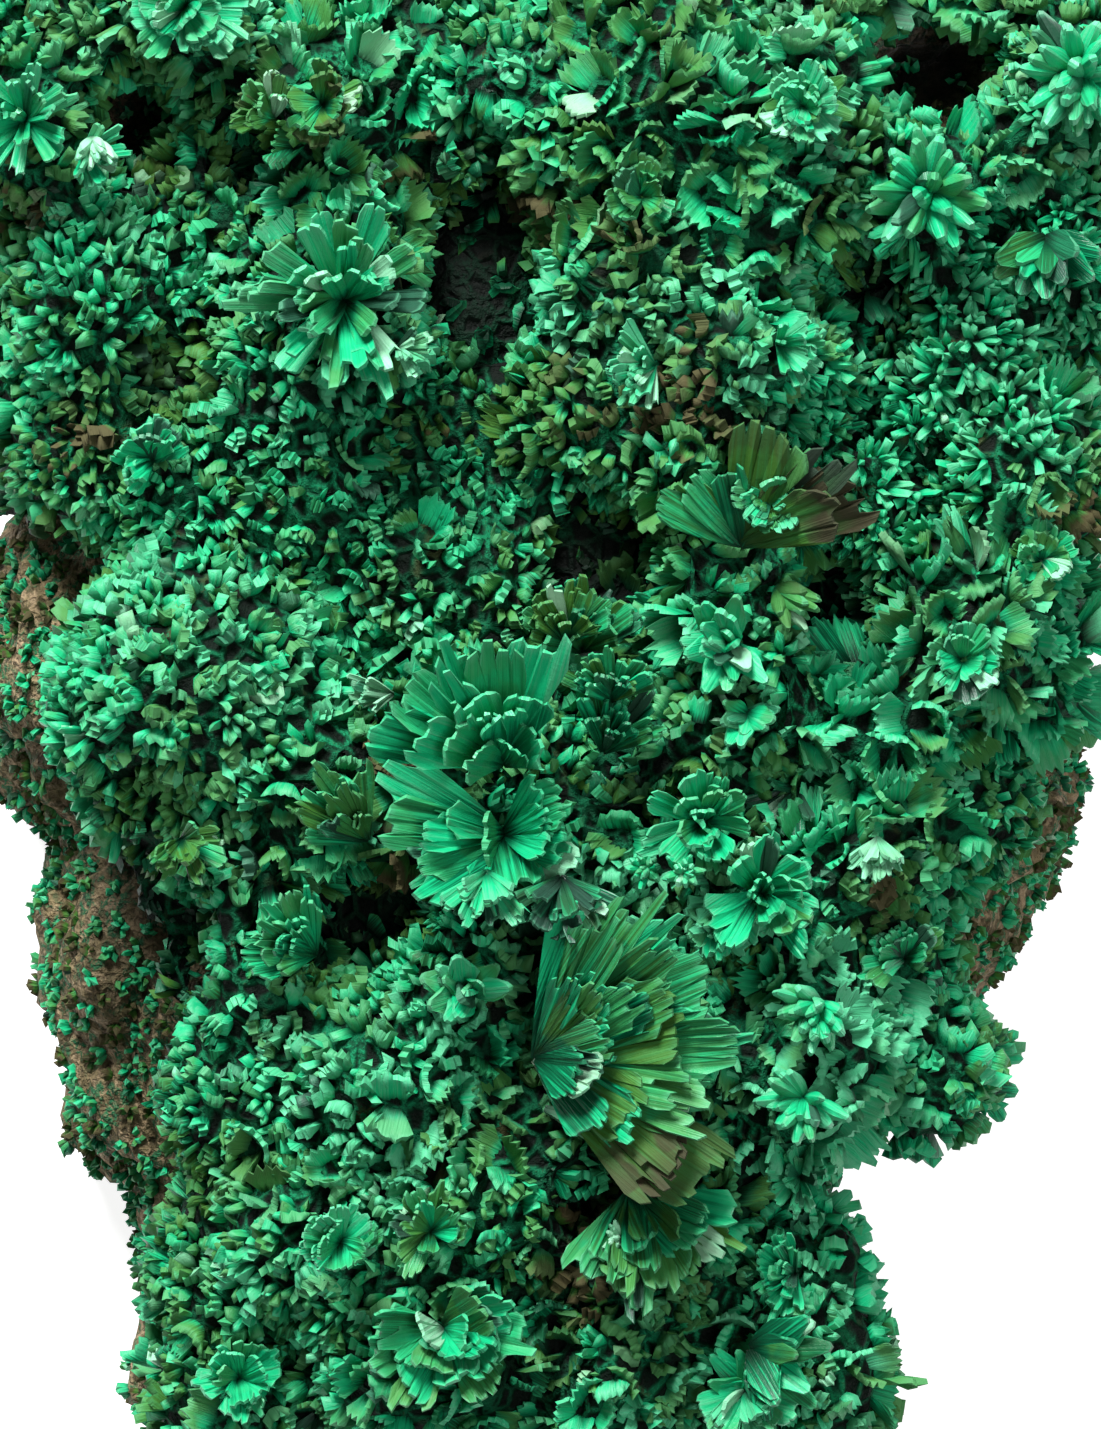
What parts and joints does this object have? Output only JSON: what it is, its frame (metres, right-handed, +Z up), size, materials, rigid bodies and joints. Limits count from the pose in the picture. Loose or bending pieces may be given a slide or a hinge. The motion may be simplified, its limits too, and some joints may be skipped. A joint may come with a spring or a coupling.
{
  "type": "malachite crystal specimen",
  "caption": "Natural malachite specimen: bladed crystal sprays and rosettes on a fine green druse crust over brown rock, resting on its flat cut back.",
  "frame": {"origin": "on the flat cut back of the rock, under the middle of the specimen", "axes": "+Z up through the crystal face, +Y towards the wide end of the specimen, +X to the right seen from above"},
  "size_m": [0.0574, 0.0767, 0.0348],
  "materials": {
    "brown_rock": "rough brown iron-stained rock with tan and rust patches and green specks, matt",
    "malachite_crust": "druse of fine emerald to mint crystals, silky, with olive patches and dark recesses",
    "malachite_blades": "striated bladed malachite, emerald with olive and mint blades and pale toothed rims, satin"
  },
  "bodies": {
    "root": {"matrix": "brown_rock", "malachite_crust": "malachite_crust", "cup_rosette": "malachite_blades", "dark_fan": "malachite_blades", "centre_rosettes": "malachite_blades", "great_fan": "malachite_blades", "lower_fan": "malachite_blades", "light_leaves": "malachite_blades", "boss_rosette": "malachite_blades", "top_flower": "malachite_blades", "left_flower": "malachite_blades", "olive_fan": "malachite_blades", "right_flower": "malachite_blades", "petal_cluster": "malachite_blades", "upper_leaves": "malachite_blades", "ridge_left_blades": "malachite_blades", "ridge_right_blades": "malachite_blades", "ridge_fan": "malachite_blades", "block_bundle": "malachite_blades", "leaf_column": "malachite_blades", "valley_blades": "malachite_blades", "olive_stack": "malachite_blades", "left_fan": "malachite_blades", "pale_columns": "malachite_blades", "foot_blades": "malachite_blades", "foot_leaves": "malachite_blades", "foot_star": "malachite_blades", "left_foot_fan": "malachite_blades"}
  },
  "joints": []
}
